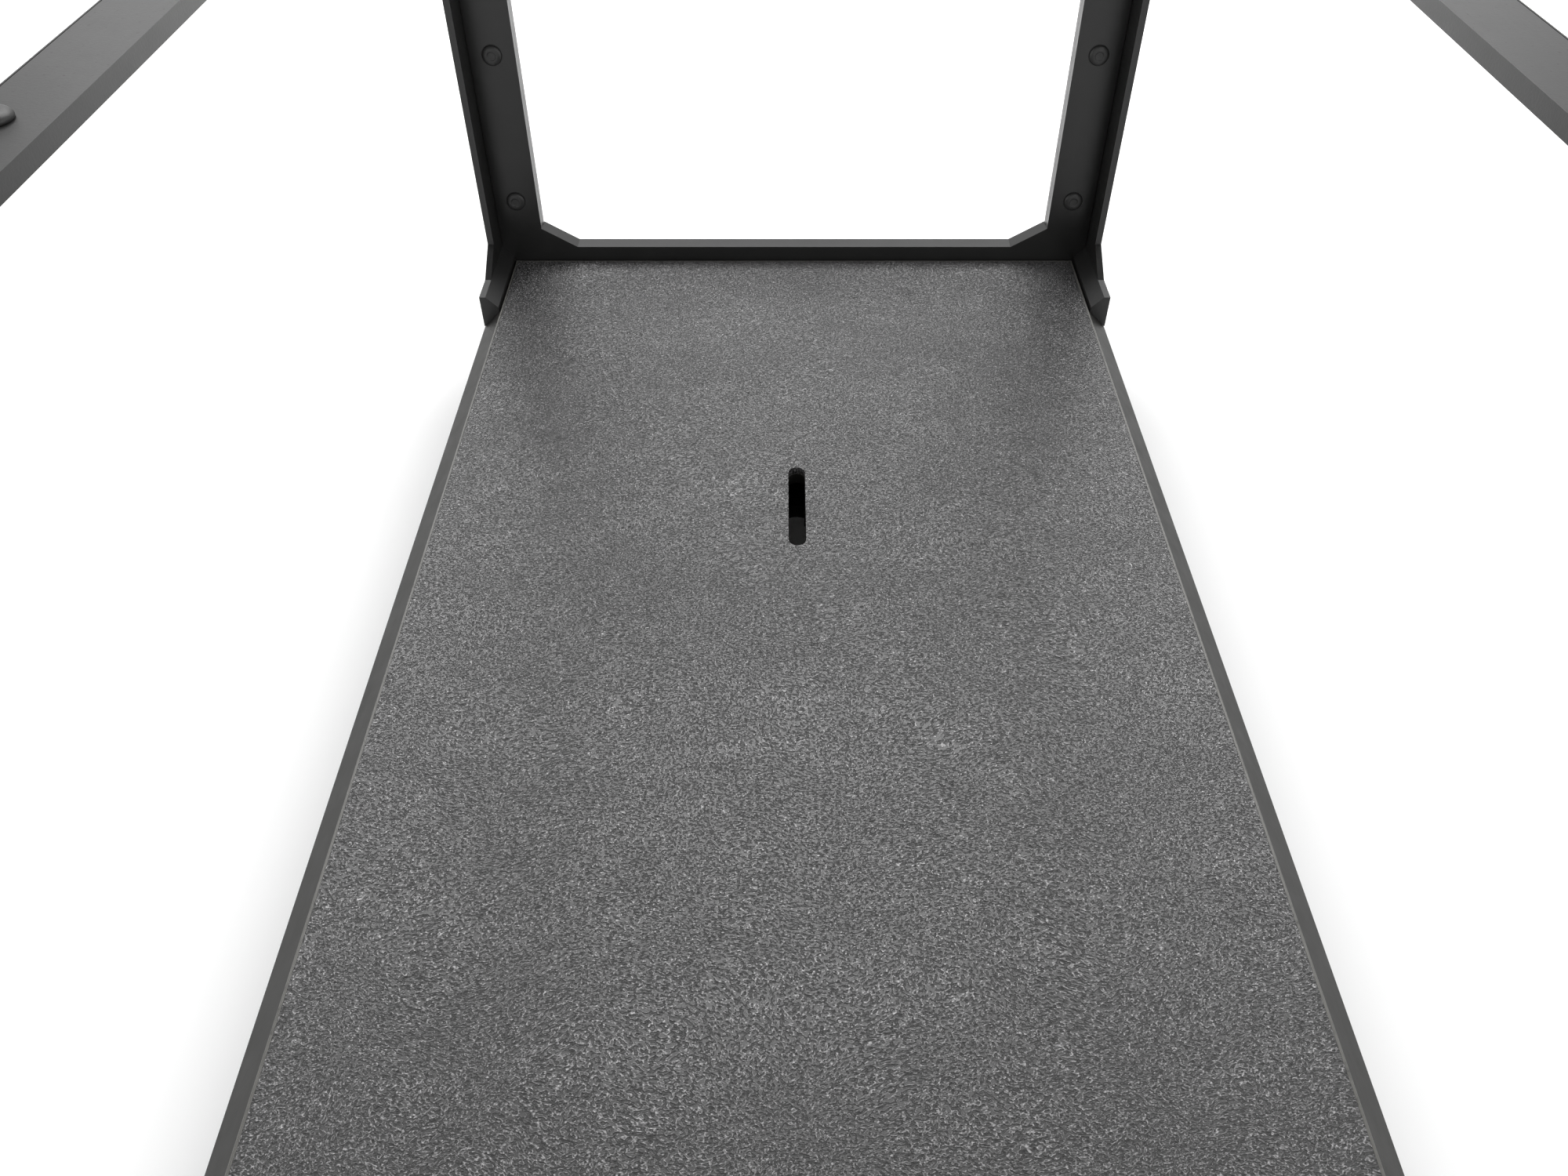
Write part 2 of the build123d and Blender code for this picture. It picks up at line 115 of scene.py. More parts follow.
class StandCanopySettings(bpy.types.PropertyGroup):
    edge_radius: millimetres("Edge radius", "Rounding of the frames' moulded edges", 0.35)
    roof_edge_radius: millimetres("Roof edge radius", "Rounding of the thin roof ring", 0.22)
    plastic: colour("Plastic", "Colour of the satin black moulding", (0.014, 0.014, 0.0138))
    roughness: share("Roughness", "How matt the frames are", 0.34)
    spark_grain: millimetres("Spark grain", "Size of the fine texture left by the mould", 0.32)
    # Paler than the frames' plastic, in part a painted highlight for the glints on the rivet heads.
    rivet_plastic: colour("Rivet plastic", "Colour of the rivets", (0.0266, 0.0266, 0.02622))
    rivet_roughness: share("Rivet roughness", "How matt the rivets are", 0.42)
    rivet_head_height: millimetres("Rivet head", "How far a corner rivet's head stands out", 0.8)
    rivet_shank_radius: millimetres("Rivet shank radius", "Radius of a rivet's shank", 1.0)
    rivet_tail_radius: millimetres("Rivet tail radius", "Radius of a rivet's flared tail", 1.6)
    rivet_tail_height: millimetres("Rivet tail height", "Thickness of a rivet's flared tail", 0.6)
    rivet_dimple: millimetres("Rivet dimple", "Depth of the hollow in a rivet's head", 0.1)
    rivet_segments: IntProperty(
        name="Rivet segments", description="Facets round each rivet", default=32, min=8, max=96
    )


class StandPlinthSettings(bpy.types.PropertyGroup):
    edge_radius: millimetres("Edge radius", "Rounding of the plinth's moulded edges", 0.12)
    deck_edge_radius: millimetres("Deck edge radius", "Rounding of the deck panel's rim", 0.03)
    deck_stretch: millimetres("Deck stretch", "How far the pressed-in panel's rim spreads", 0.09)
    plastic: colour("Plastic", "Colour of the plinth's moulding", (0.019, 0.0186, 0.0172))
    roughness: share("Roughness", "How matt the plinth is", 0.5)
    shine: share("Shine", "How strongly the plinth mirrors", 0.15)
    spark_grain: millimetres("Spark grain", "Size of the fine texture left by the mould", 0.4)
    edge_roughness: share("Edge roughness", "How matt the rubbed edges are", 0.36)
    # How much paler the plinth's edges and lip are: at six times, mostly a painted highlight along
    # the lip, with some wear.
    edge_highlight_and_wear: FloatProperty(
        name="Edge wear", description="How much paler the rubbed edges are", default=6, min=1
    )
    deck: colour("Deck", "Colour of the grained deck", (0.025, 0.0246, 0.0249))
    grain_size: millimetres("Grain size", "Spacing of the folds of the leather grain", 0.34)
    grain_stretch: share("Grain stretch", "Width of a fold as a share of its length", 0.62)
    grain_depth: millimetres("Grain depth", "Height of the folds over their creases", 0.14)


class StandFootSettings(bpy.types.PropertyGroup):
    powder_coat: colour("Powder coat", "Colour of the weighted foot", (0.03, 0.03, 0.032))
    rubber: colour("Rubber", "Colour of the four rubber feet", (0.022, 0.022, 0.022))
    zinc: colour("Zinc", "Colour of the plated steel", (0.62, 0.62, 0.6))
    nylon: colour("Nylon", "Colour of the cage and the bush", (0.72, 0.7, 0.63))
    plate_edge_radius: millimetres("Plate edge", "Rounding of the foot plate's edges", 0.25)
    race_edge_radius: millimetres("Race edge", "Rounding of the races' edges", 0.12)
    cage_edge_radius: millimetres("Cage edge", "Rounding of the ball cage's edges", 0.1)
    pivot_radius: millimetres("Pivot radius", "Radius of the pivot bolt over its thread", 2.5)
    pivot_head_height: millimetres("Pivot head height", "Height of the pivot bolt's head", 2.8)
    pivot_socket_radius: millimetres("Pivot socket", "Radius of the socket in its head", 1.75)
    thread_pitch: millimetres("Thread pitch", "Pitch of the pivot bolt's thread", 0.8)
    running_fit: millimetres("Running fit", "Clearance round the bolt in what turns on it", 0.05)
    bush_wall: millimetres("Bush wall", "Thickness of the bush round the bolt", 1.5)
    bush_flange: millimetres("Bush flange", "Thickness of the bush's flange", 1.2)
    screw_pitch: millimetres("Screw pitch", "Pitch of the screws' threads", 0.9)
    screw_turn_seed: IntProperty(
        name="Screw turn seed", description="How far each screw was driven round", default=7, min=0
    )


class StandStudioSettings(bpy.types.PropertyGroup):
    floor_size: FloatProperty(
        name="Floor size", description="Side of the square floor", default=14.0, unit="LENGTH"
    )
    floor_colour: colour("Floor", "Colour of the floor", (0.8, 0.8, 0.8))
    soft_light: FloatProperty(
        name="Soft light", description="Strength of the light from all round", default=0.42, min=0
    )
    camera_place: FloatVectorProperty(
        name="Camera place", description="Where the camera stands", default=(-0.0026, -0.1, 0.1551),
        subtype="TRANSLATION", size=3,
    )
    camera_pitch: FloatProperty(
        name="Camera pitch", description="How far the camera looks down",
        default=math.radians(44.08), subtype="ANGLE",
    )
    lens: FloatProperty(
        name="Lens", description="Focal length in millimetres on a 36 mm sensor", default=27.61
    )


# ---- node trees written as expressions ----


class Signal:
    """A socket's value. Arithmetic on it adds the Math nodes that work it out."""

    def __init__(self, bench, socket):
        self.bench = bench
        self.socket = socket

    def math(self, operation, *values):
        sockets = dict(enumerate(values))
        return self.bench.node("ShaderNodeMath", {"operation": operation}, sockets).out()

    def __add__(self, other):
        return self.math("ADD", self, other)

    def __radd__(self, other):
        return self.math("ADD", other, self)

    def __sub__(self, other):
        return self.math("SUBTRACT", self, other)

    def __rsub__(self, other):
        return self.math("SUBTRACT", other, self)

    def __mul__(self, other):
        return self.math("MULTIPLY", self, other)

    def __rmul__(self, other):
        return self.math("MULTIPLY", other, self)

    def __pow__(self, other):
        return self.math("POWER", self, other)

    def at_least(self, other):
        return self.math("MAXIMUM", self, other)

    def size(self):
        return self.math("ABSOLUTE", self)

    def ramp(self, low, high):
        """0 below low and 1 above high, with a soft step between."""
        made = self.bench.node("ShaderNodeMapRange", {"interpolation_type": "SMOOTHSTEP"},
                               {0: self, 1: low, 2: high})
        return made.out()


class Made:
    """A node that has been added, with its outputs as signals."""

    def __init__(self, bench, node):
        self.bench = bench
        self.node = node

    def out(self, name=0):
        return Signal(self.bench, self.node.outputs[name])


class Bench:
    """Adds nodes to one tree."""

    def __init__(self, tree):
        self.tree = tree

    def node(self, kind, settings=None, sockets=None):
        """One node: its type, its settings, then the values or signals of its input sockets."""
        node = self.tree.nodes.new(kind)
        for name, value in (settings or {}).items():
            setattr(node, name, value)
        for name, value in (sockets or {}).items():
            if isinstance(value, Signal):
                self.tree.links.new(value.socket, node.inputs[name])
            else:
                node.inputs[name].default_value = value
        return Made(self, node)

    def vector(self, x, y, z=0.0):
        return self.node("ShaderNodeCombineXYZ", None, {0: x, 1: y, 2: z}).out()

    def parts(self, vector):
        """A vector taken apart, with X, Y and Z as its outputs."""
        return self.node("ShaderNodeSeparateXYZ", None, {0: vector})


class Finish(Bench):
    """One material: a Principled shader and what varies over the surface."""

    def __init__(self, name, **constants):
        self.material = bpy.data.materials.new(name)
        self.material.use_nodes = True
        super().__init__(self.material.node_tree)
        self.tree.nodes.clear()
        self.shader = self.node("ShaderNodeBsdfPrincipled", None, constants)
        self.node("ShaderNodeOutputMaterial", None, {"Surface": self.shader.out()})
        self.place = self.node("ShaderNodeTexCoord").out("Object")

    def stretched(self, x, y, z, place=None):
        """The object's own or other coordinates, multiplied along each axis."""
        sockets = {0: place or self.place, 1: (x, y, z)}
        return self.node("ShaderNodeVectorMath", {"operation": "MULTIPLY"}, sockets).out()

    def noise(self, size, detail=2.0, roughness=0.5, distortion=0.0, place=None):
        """Smooth noise from 0 to 1 whose features are about size metres across."""
        made = self.node("ShaderNodeTexNoise", None, {
            "Vector": place or self.place, "Scale": 1 / size, "Detail": detail,
            "Roughness": roughness, "Distortion": distortion,
        })
        return made.out("Fac")

    def cells(self, size):
        """Distance to the nearest of random points that lie about size metres apart."""
        made = self.node("ShaderNodeTexVoronoi", None, {"Vector": self.place, "Scale": 1 / size})
        return made.out("Distance")

    def pushed(self, size, place, amount):
        """Coordinates pushed about by up to amount, by noise of a size."""
        noise = self.node("ShaderNodeTexNoise", None, {"Vector": place, "Scale": 1 / size})
        push = self.node("ShaderNodeVectorMath", {"operation": "MULTIPLY_ADD"}, {
            0: noise.out("Color"), 1: (amount, amount, amount), 2: place,
        })
        return push.out()

    def upward(self):
        """1 where the surface faces up, 0 where it is upright and -1 where it faces down."""
        normal = self.node("ShaderNodeNewGeometry").out("Normal")
        return self.parts(normal).out("Z")

    def tone(self, factor, first, second):
        """A colour between two, by a signal. The first may itself be a signal."""
        under = first if isinstance(first, Signal) else (*first, 1)
        sockets = {0: factor, 6: under, 7: (*second, 1)}
        return self.node("ShaderNodeMix", {"data_type": "RGBA"}, sockets).out(2)

    def bump(self, height, distance, strength=1.0, over=None):
        sockets = {"Height": height, "Distance": distance, "Strength": strength}
        if over:
            sockets["Normal"] = over
        return self.node("ShaderNodeBump", None, sockets).out()

    def done(self, **varying):
        for name, signal in varying.items():
            self.tree.links.new(signal.socket, self.shader.node.inputs[name.replace("_", " ")])
        return self.material


class PieceTree(Bench):
    """A Geometry Nodes tree with named inputs for a repeated piece."""

    def __init__(self, name):
        super().__init__(bpy.data.node_groups.new(name, "GeometryNodeTree"))
        for way in ("INPUT", "OUTPUT"):
            self.tree.interface.new_socket("Geometry", in_out=way, socket_type="NodeSocketGeometry")
        self.identifiers = {}
        self.source = self.node("NodeGroupInput")

    def input(self, name, kind="Float"):
        kind = "NodeSocket" + kind
        made = self.tree.interface.new_socket(name, in_out="INPUT", socket_type=kind)
        self.identifiers[name] = made.identifier
        return self.source.out(name)

    def joined(self, *parts):
        node = self.tree.nodes.new("GeometryNodeJoinGeometry")
        for part in reversed(parts):
            self.tree.links.new(part.socket, node.inputs[0])
        return Made(self, node).out()

    def path(self, start, *moves):
        """A profile of lines and bends. A line is given by its end, and a bend by its middle, its
        end and its steps."""
        parts = []
        for move in moves:
            if isinstance(move, Signal):
                kind, end, sockets = "PrimitiveLine", move, {}
            else:
                middle, end, steps = move
                kind, sockets = "QuadraticBezier", {"Resolution": steps, "Middle": middle}
            sockets |= {"Start": start, "End": end}
            parts.append(self.node("GeometryNodeCurve" + kind, None, sockets).out())
            start = end
        return self.joined(*parts)

    def lathed(self, profile, path_radius, segments):
        """Turn a profile round Z. Its X is the radius less path_radius and its Y is downwards."""
        path = self.node("GeometryNodeCurvePrimitiveCircle", None, {
            "Resolution": segments, "Radius": path_radius,
        })
        turned = self.node("GeometryNodeCurveToMesh", None, {
            "Curve": path.out("Curve"), "Profile Curve": profile,
        })
        return self.node("GeometryNodeMergeByDistance", None, {
            "Geometry": turned.out(), "Distance": WELD,
        }).out()

    def finished(self, instances, finish):
        real = self.node("GeometryNodeRealizeInstances", None, {0: instances}).out()
        painted = self.node("GeometryNodeSetMaterial", None, {0: real, "Material": finish}).out()
        self.node("NodeGroupOutput", None, {0: painted})
        return self

    def run(self, name, places, **values):
        """Give the tree its places and its inputs, and keep the result as a plain mesh."""
        points = bpy.data.meshes.new(name + "_places")
        points.from_pydata(places, [], [])
        source = added(name + "_places", points)
        modifier = source.modifiers.new("pieces", "NODES")
        modifier.node_group = self.tree
        for key, value in values.items():
            modifier[self.identifiers[key.replace("_", " ")]] = value
        return settled(source, name)


# ---- meshes ----


def added(name, data):
    """A new object in the scene."""
    made = bpy.data.objects.new(name, data)
    bpy.context.scene.collection.objects.link(made)
    return made


def discard(piece):
    """Delete an object and its mesh."""
    mesh = piece.data
    bpy.data.objects.remove(piece)
    bpy.data.meshes.remove(mesh)


def settled(source, name):
    """The object as its modifiers leave it, as a plain mesh at the origin."""
    bpy.context.view_layer.update()
    graph = bpy.context.evaluated_depsgraph_get()
    mesh = bpy.data.meshes.new_from_object(source.evaluated_get(graph), depsgraph=graph)
    mesh.name = name
    discard(source)
    return added(name, mesh)


def object_from(work, name):
    """A new object from a bmesh, which is used up."""
    mesh = bpy.data.meshes.new(name)
    work.to_mesh(mesh)
    work.free()
    return added(name, mesh)


def welded(node):
    """A bmesh of a node's own mesh, its loose triangles joined into one skin."""
    work = bmesh.new()
    work.from_mesh(NODES[node].data)
    bmesh.ops.remove_doubles(work, verts=work.verts, dist=WELD)
    return work


def bench_copy(node, name):
    """A copy of a node's mesh as one skin, with its flat faces made whole."""
    work = welded(node)
    bmesh.ops.dissolve_limit(
        work, angle_limit=math.radians(FLAT_ANGLE), verts=work.verts, edges=work.edges
    )
    return object_from(work, name)


def eased(piece, radius, materials, segments=3, angle=30.0):
    """Round a piece's sharp edges, the rounding in the piece's last material, and keep its flat
    faces shaded flat."""
    for material in materials:
        piece.data.materials.append(material)
    piece.data.shade_smooth()
    modifier = piece.modifiers.new("edges", "BEVEL")
    modifier.limit_method = "ANGLE"
    modifier.angle_limit = math.radians(angle)
    modifier.width = radius
    modifier.segments = segments
    modifier.use_clamp_overlap = True
    modifier.miter_outer = "MITER_ARC"
    modifier.material = len(materials) - 1
    flat = piece.modifiers.new("flat", "WEIGHTED_NORMAL")
    flat.weight = 100
    flat.keep_sharp = True
    return settled(piece, piece.name)


def ring(work, radii, height, centre=(0, 0)):
    """Points round an upright axis, one for each radius."""
    points = []
    for index, radius in enumerate(radii):
        angle = 2 * math.pi * index / len(radii)
        x = centre[0] + radius * math.cos(angle)
        y = centre[1] + radius * math.sin(angle)
        points.append(work.verts.new((x, y, height)))
    return points


def skin(work, rings):
    """Join each ring to the next below it, with triangles where one of them is a single point."""
    for upper, lower in zip(rings, rings[1:]):
        for index, corner in enumerate(upper):
            after = (index + 1) % len(upper)
            corners = list(dict.fromkeys([corner, lower[index], lower[after], upper[after]]))
            if len(corners) > 2:
                work.faces.new(corners)


def lathe(work, profile, segments, centre=(0, 0)):
    """Add a profile's solid of revolution about an upright axis. The profile is pairs of radius
    and height, from the axis outwards, down and back, or round a ring to where it began."""
    rings = []
    for radius, height in profile:
        if radius < WELD:
            rings.append([work.verts.new((*centre, height))] * segments)
        else:
            rings.append(ring(work, [radius] * segments, height, centre))
    skin(work, rings)
    return work


def arc(radius, height, size, start, end, steps):
    """Points on a quarter or other arc of a profile, angles in degrees from outwards."""
    points = []
    for step in range(steps + 1):
        angle = math.radians(start + (end - start) * step / steps)
        points.append((radius + size * math.cos(angle), height + size * math.sin(angle)))
    return points


def smooth(piece, angle=35.0):
    """Shade a piece smooth except over its sharp edges."""
    piece.data.shade_smooth()
    piece.data.set_sharp_from_angle(angle=math.radians(angle))
    return piece


def islands(node):
    """The box of each separate solid in a node, as pairs of lowest and highest corners."""
    work = welded(node)
    left = set(work.verts)
    boxes = []
    while left:
        first = left.pop()
        group = [first]
        queue = [first]
        while queue:
            for edge in queue.pop().link_edges:
                for vertex in edge.verts:
                    if vertex in left:
                        left.remove(vertex)
                        group.append(vertex)
                        queue.append(vertex)
        lows = [min(vertex.co[axis] for vertex in group) for axis in range(3)]
        highs = [max(vertex.co[axis] for vertex in group) for axis in range(3)]
        boxes.append((Vector(lows), Vector(highs)))
    work.free()
    return sorted(boxes, key=lambda box: [round(value, 6) for value in box[0]])


def cut(piece, tool, operation="DIFFERENCE", crossing=False):
    """Take a tool's shape out of a piece, or join the two or keep what they share, and delete the
    tool. With crossing, the piece's own parts are joined where they run through each other."""
    modifier = piece.modifiers.new("cut", "BOOLEAN")
    modifier.operation = operation
    modifier.solver = "EXACT"
    modifier.use_self = crossing
    modifier.object = tool
    made = settled(piece, piece.name)
    discard(tool)
    return made


def keep(piece, body, slot, *nodes):
    """Make a finished piece ride on its body and stand for its nodes."""
    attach(piece, body)
    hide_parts(*nodes)
    return piece


# ---- finishes ----


def matter(name, shine, ior=1.5):
    """A finish for what isn't metal. Its shine is how strongly it mirrors."""
    return Finish(name, **{"IOR": ior, "Specular IOR Level": shine})


def times(tint, factor, lift=0.0):
    """A colour made paler or deeper."""
    return [channel * factor + lift for channel in tint]


def moulded_black(name, tint, roughness, spark, shine=0.42):
    """Black moulded plastic with a spark-eroded texture, faint flow marks and a little dust."""
    finish = matter(name, shine)
    flow = finish.noise(38 * MM, 3.0, 0.6, 0.8)
    cloud = finish.noise(6 * MM, 4.0, 0.62)
    texture = finish.noise(spark, 2.0, 0.55)
    base = finish.tone(flow * 0.6 + cloud * 0.4, times(tint, 0.72), times(tint, 1.5))
    dust = finish.noise(0.5 * MM, 1.0).ramp(0.66, 0.78) * finish.upward().ramp(0.7, 0.95)
    base = finish.tone(dust * cloud * 0.22, base, (0.16, 0.155, 0.15))
    streaks = finish.noise(1.0, 3.0, 0.6, 0.0, finish.stretched(900, 60, 700))
    gloss = roughness + (cloud - 0.5) * 0.16 + (streaks - 0.5) * 0.06 + dust * 0.15
    normal = finish.bump(texture, 0.012 * MM, 0.7)
    normal = finish.bump(flow, 0.25 * MM, 0.25, normal)
    return finish.done(Base_Color=base, Roughness=gloss, Normal=normal)


def paler_edge_black(name, tint, roughness, wear=2.4):
    """The same plastic with its edges paler and glossier: wear from handling, and where it is made
    much paler, as on the plinth's lip and edges, a painted highlight.
    """
    finish = matter(name, 0.5)
    glint_and_rub = finish.noise(2.5 * MM, 4.0, 0.65)
    # Paler patches on the edges: wear, and where they are made much paler, as on the plinth, a
    # painted highlight.
    base = finish.tone(glint_and_rub.ramp(0.15, 0.5), tint, times(tint, wear, 0.004))
    gloss = roughness - 0.1 + (1 - glint_and_rub) * 0.12
    normal = finish.bump(finish.noise(0.4 * MM, 2.0), 0.008 * MM, 0.5)
    return finish.done(Base_Color=base, Roughness=gloss, Normal=normal)


def leather_grain(name, tint, size, length, depth):
    """A pressed leather grain: short curved folds that drift in direction, each with a bright crest
    beside a dark crease, on smoother ground. The crests' paler colour is a painted highlight for
    their glints, and the creases' and pits' darker colour is painted shade."""
    finish = matter(name, 0.9)
    drift = finish.pushed(36 * MM, finish.place, 16 * MM)
    drift = finish.pushed(size * 4, drift, size * 1.6)
    along = finish.stretched(length, 1.0, 1.0, drift)
    folds = finish.noise(size * 0.9, 0.0, 0.5, 0.15, along)
    shown = finish.noise(size * 0.85, 0.0, 0.5, 0.0, drift).ramp(0.3, 0.6)
    ground = finish.noise(size * 6, 2.0, 0.5).ramp(0.3, 0.7)
    fine = finish.noise(size * 0.22, 2.0, 0.5)
    # How strongly each stretch of crest glints: the strength of the painted highlight.
    glint_and_rub = finish.noise(size * 1.1, 0.0, 0.5, 0.0, finish.stretched(1.3, 1.3, 1.3)).ramp(0.4, 0.7)
    crest = (1 - (folds - 0.55).size().ramp(0.03, 0.13)) * shown
    crease = 1 - (folds - 0.38).size().ramp(0.015, 0.085)
    pit = 1 - folds.ramp(0.16, 0.28)
    height = folds.ramp(0.34, 0.52) * 0.6 + crest * 0.4 - crease * 0.3 - pit * 0.4 + fine * 0.04
    lie = finish.noise(90 * MM, 3.0, 0.55)
    mottle = lie * 0.4 + ground * 0.3 + fine * 0.3
    base = finish.tone(mottle, times(tint, 0.8), times(tint, 1.25))
    # Painted shade: the creases and pits are darkened to a twentieth of the tint, standing in for
    # the shade that falls in them.
    base = finish.tone(crease.at_least(pit) * 0.9, base, times(tint, 0.05))
    # Painted highlight: the crests are made up to fourteen times paler, standing in for their
    # glints.
    base = finish.tone(crest * (0.35 + glint_and_rub * 0.65), base, times(tint, 14))
    gloss = 0.34 - crest * (0.08 + glint_and_rub * 0.12) + pit * 0.34 + (lie - 0.5) * 0.08
    normal = finish.bump(height, depth, 1.0)
    return finish.done(Base_Color=base, Roughness=gloss, Normal=normal)


def powder_coat(name, tint):
    """Matt black powder coat with its orange peel and the odd speck."""
    finish = matter(name, 0.45)
    peel = finish.noise(0.9 * MM, 2.0, 0.5)
    cloud = finish.noise(24 * MM, 3.0)
    speck = finish.cells(2.2 * MM).ramp(0.02, 0.1)
    base = finish.tone(cloud * 0.7 + peel * 0.3, times(tint, 0.75), times(tint, 1.35))
    base = finish.tone((1 - speck) * 0.3, base, (0.1, 0.1, 0.1))
    normal = finish.bump(peel, 0.05 * MM, 0.6)
    return finish.done(Base_Color=base, Roughness=0.46 + cloud * 0.14, Normal=normal)


def plated_steel(name, tint, roughness, turned=False):
    """Zinc-plated steel, with the marks of turning round the pivot where it was turned."""
    finish = Finish(name, **{"Metallic": 1.0})
    cloud = finish.noise(7 * MM, 4.0, 0.6, 0.5)
    fine = finish.noise(0.35 * MM, 3.0, 0.6)
    warm = [tint[0] * 1.04, tint[1] * 0.99, tint[2] * 0.9]
    cool = [tint[0] * 0.84, tint[1] * 0.89, tint[2] * 0.97]
    base = finish.tone(cloud, warm, cool)
    stain = finish.noise(3.0 * MM, 5.0, 0.7).ramp(0.6, 0.78)
    base = finish.tone(stain * 0.35, base, times(tint, 0.5))
    marks = fine
    if turned:
        parts = finish.parts(finish.place)
        x, y = parts.out("X"), parts.out("Y")
        reach = (x * x + y * y) ** 0.5
        marks = finish.noise(1.0, 3.0, 0.6, 0.0, finish.vector(reach * 5200, 0.0))
    gloss = roughness + (cloud - 0.5) * 0.16 + stain * 0.14 + (marks - 0.5) * 0.08
    normal = finish.bump(marks, 0.01 * MM, 0.5)
    return finish.done(Base_Color=base, Roughness=gloss, Normal=normal)


def bearing_steel(name):
    """Hard polished balls with a film of grease."""
    finish = Finish(name, **{"Metallic": 1.0})
    film = finish.noise(1.6 * MM, 3.0, 0.6)
    base = finish.tone(film, (0.78, 0.78, 0.79), (0.68, 0.66, 0.6))
    return finish.done(Base_Color=base, Roughness=0.06 + film.ramp(0.45, 0.7) * 0.2)


def natural_nylon(name, tint):
    """Uncoloured moulded nylon with dirt where it runs."""
    finish = matter(name, 0.5)
    cloud = finish.noise(9 * MM, 3.0)
    fine = finish.noise(0.5 * MM, 2.0)
    base = finish.tone(cloud, times(tint, 0.9), tint)
    grime = finish.noise(2.4 * MM, 4.0, 0.65).ramp(0.56, 0.8)
    base = finish.tone(grime * 0.4, base, (0.3, 0.27, 0.2))
    normal = finish.bump(fine, 0.02 * MM, 0.5)
    return finish.done(Base_Color=base, Roughness=0.42 + cloud * 0.12 + grime * 0.1, Normal=normal)


def foot_rubber(name, tint):
    """Matt rubber with a bloom and lint caught on it."""
    finish = matter(name, 0.35, 1.48)
    bloom = finish.noise(5 * MM, 4.0, 0.65)
    pores = finish.noise(0.22 * MM, 2.0)
    base = finish.tone(bloom.ramp(0.35, 0.75), tint, times(tint, 1.9, 0.006))
    normal = finish.bump(pores, 0.03 * MM, 0.7)
    return finish.done(Base_Color=base, Roughness=0.72 + bloom * 0.18, Normal=normal)


# ---- repeated pieces ----


def rivet_tree():
    """A push rivet on each place: a dimpled domed head, a shank and a flared tail along Z."""
    tree = PieceTree("push_rivet")
    head_radius, head_height, dimple = map(tree.input, ("Head radius", "Head height", "Dimple"))
    shank_radius, grip = map(tree.input, ("Shank radius", "Grip"))
    tail_radius, tail_height = map(tree.input, ("Tail radius", "Tail height"))
    segments = tree.input("Segments", "Int")
    turn = tree.input("Turn", "Rotation")
    finish = tree.input("Finish", "Material")

    def at(radius, height):
        return tree.vector(radius - head_radius, -1 * height)

    pin = head_radius * 0.42
    rim = head_height * -0.28
    lip = head_radius * 0.06
    top = head_height * -1
    end = grip + tail_height
    flare = tail_radius * 0.12
    down = tree.path(
        at(0.0, end - tail_height * 0.12),
        (at(tail_radius * 0.5, end), at(tail_radius * 0.8, end), 4),
        (at(tail_radius, end), at(tail_radius, end - flare), 4),
        at(tail_radius, grip),
        at(shank_radius, grip),
        at(shank_radius, 0.0),
        at(head_radius - lip, 0.0),
        (at(head_radius, 0.0), at(head_radius, rim), 3),
        (at(head_radius * 0.96, top), at(pin + lip, top), 8),
        (at(pin, top), at(pin, top + dimple * 0.6), 3),
        (at(pin, top + dimple), at(pin * 0.7, top + dimple), 3),
        at(0.0, top + dimple),
    )
    rivet = tree.lathed(down, head_radius, segments)
    shaded = tree.node("GeometryNodeSetShadeSmooth", None, {"Geometry": rivet}).out()
    placed = tree.node("GeometryNodeInstanceOnPoints", None, {
        "Points": tree.source.out("Geometry"), "Instance": shaded, "Rotation": turn,
    }).out()
    return tree.finished(placed, finish)


def ball_tree():
    """Balls evenly spaced on a circle about Z."""
    tree = PieceTree("ball_ring")
    count = tree.input("Count", "Int")
    circle_radius, ball_radius = map(tree.input, ("Circle radius", "Ball radius"))
    height = tree.input("Height")
    finish = tree.input("Finish", "Material")
    circle = tree.node("GeometryNodeMeshCircle", None, {
        "Vertices": count, "Radius": circle_radius,
    }).out()
    raised = tree.node("GeometryNodeSetPosition", None, {
        "Geometry": circle, "Offset": tree.vector(0.0, 0.0, height),
    }).out()
    ball = tree.node("GeometryNodeMeshIcoSphere", None, {
        "Radius": ball_radius, "Subdivisions": 4,
    }).out("Mesh")
    shaded = tree.node("GeometryNodeSetShadeSmooth", None, {"Geometry": ball}).out()
    placed = tree.node("GeometryNodeInstanceOnPoints", None, {0: raised, "Instance": shaded}).out()
    return tree.finished(placed, finish)


def screw_tree():
    """A screw on each place, each driven round to its own angle."""
    tree = PieceTree("driven_screws")
    screw = tree.input("Screw", "Object")
    seed = tree.input("Seed", "Int")
    tilt = tree.input("Tilt", "Rotation")
    finish = tree.input("Finish", "Material")
    part = tree.node("GeometryNodeObjectInfo", None, {0: screw}).out("Geometry")
    angle = tree.node("FunctionNodeRandomValue", {"data_type": "FLOAT"}, {
        2: 0.0, 3: 2 * math.pi, "Seed": seed,
    }).out(1)
    placed = tree.node("GeometryNodeInstanceOnPoints", None, {
        "Points": tree.source.out("Geometry"), "Instance": part, "Rotation": tilt,
    }).out()
    turned = tree.node("GeometryNodeRotateInstances", None, {
        "Instances": placed, "Rotation": tree.vector(0.0, 0.0, angle),
    }).out()
    return tree.finished(turned, finish)


